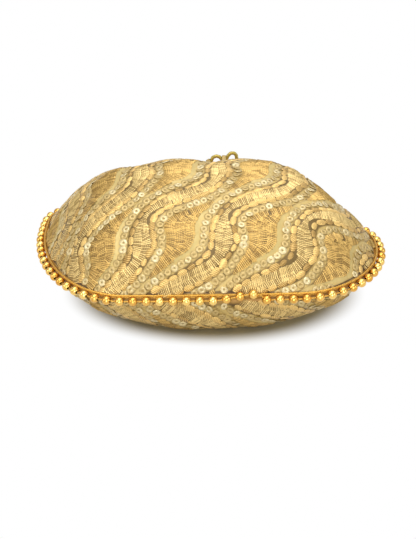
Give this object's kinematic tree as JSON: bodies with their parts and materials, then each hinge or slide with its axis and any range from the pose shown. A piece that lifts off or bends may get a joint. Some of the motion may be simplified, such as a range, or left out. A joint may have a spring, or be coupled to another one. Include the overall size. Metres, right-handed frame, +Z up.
{
  "type": "potli bag",
  "caption": "Embroidered drawstring pouch with a satin lining, a gold bead trim along its curved seam and a gathered neck with a frill, lying on its back, stuffed out.",
  "frame": {"origin": "middle of the bag's outline on the table it lies on, without the free ends of the drawstring", "axes": "+X across the bag, +Y from the rounded bottom seam towards the gathered mouth, +Z up, away from the back panel"},
  "size_m": [0.2284, 0.2234, 0.0863],
  "materials": {
    "embroidered_cloth": "metallic gold thread embroidery with sequins on tissue cloth",
    "satin_lining": "soft satin",
    "gold_beads": "polished gold plate",
    "gold_piping": "metallic thread",
    "drawstring_cord": "twisted metallic cord"
  },
  "bodies": {
    "root": {"front_panel": "embroidered_cloth", "back_panel": "embroidered_cloth", "front_lining": "satin_lining", "back_lining": "satin_lining", "bead_strand": "gold_beads", "seam_piping": "gold_piping", "drawstring_carrier_01": "embroidered_cloth", "drawstring_carrier_02": "embroidered_cloth", "drawstring_carrier_03": "embroidered_cloth", "drawstring_carrier_04": "embroidered_cloth", "drawstring_carrier_05": "embroidered_cloth", "drawstring_carrier_06": "embroidered_cloth", "drawstring_carrier_07": "embroidered_cloth", "drawstring_carrier_08": "embroidered_cloth", "drawstring_carrier_09": "embroidered_cloth", "drawstring_carrier_10": "embroidered_cloth", "drawstring_carrier_11": "embroidered_cloth", "drawstring_run": "drawstring_cord", "drawstring_tail_left": "drawstring_cord", "drawstring_tail_right": "drawstring_cord", "end_knot_left": "drawstring_cord", "end_knot_right": "drawstring_cord"}
  },
  "joints": []
}
